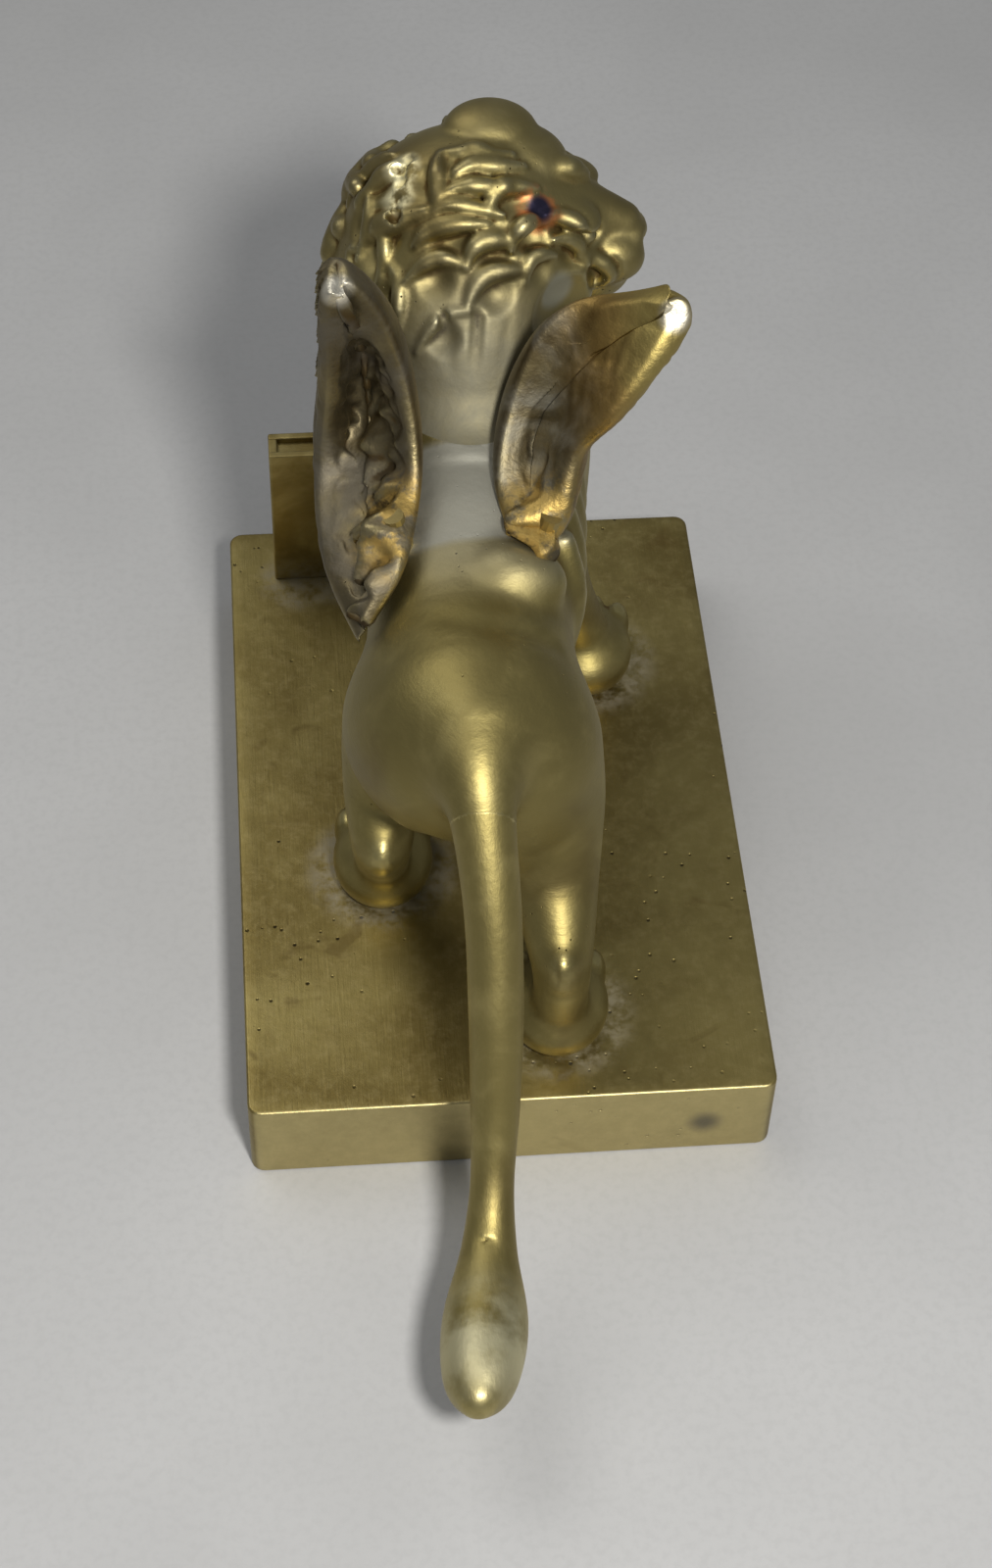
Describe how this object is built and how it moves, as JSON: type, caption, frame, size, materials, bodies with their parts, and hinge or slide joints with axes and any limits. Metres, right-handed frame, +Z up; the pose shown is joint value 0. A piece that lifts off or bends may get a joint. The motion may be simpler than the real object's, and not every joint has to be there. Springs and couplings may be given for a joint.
{
  "type": "winged lion hood ornament",
  "caption": "Brass hood ornament: a winged lion walking on a flat rectangular plate, head turned aside, one forepaw on an upright book, its long tail hanging over the plate's rear edge.",
  "frame": {"origin": "centre of the base plate's flat underside", "axes": "+Z up from the underside, +Y the way the lion walks (the plate's long side), +X the lion's right"},
  "size_m": [0.06, 0.1317, 0.0894],
  "materials": {
    "plate_brass": "satin, hand-polished brass darkened to olive brown, with a worn bright rear edge and small dark pits",
    "cast_brass": "satin cast brass, file-marked, bright on the high places and brown in the recesses",
    "wing_brass": "darker cast brass with a greyish inner face, amber worn edges and rough feather ends",
    "pin_brass": "turned brass, lightly tarnished"
  },
  "bodies": {
    "root": {"base_plate": "plate_brass", "lion_body": "cast_brass", "lion_head": "cast_brass", "left_wing": "wing_brass", "right_wing": "wing_brass", "tail": "cast_brass", "book": "plate_brass", "neck_stud": "pin_brass", "left_wing_dowel_front": "pin_brass", "left_wing_dowel_rear": "pin_brass", "right_wing_dowel_front": "pin_brass", "right_wing_dowel_rear": "pin_brass", "paw_pin": "pin_brass", "paw_screw_right_hind": "pin_brass", "paw_screw_left_hind": "pin_brass", "paw_screw_right_fore": "pin_brass", "book_screw_left": "pin_brass", "book_screw_right": "pin_brass"}
  },
  "joints": []
}
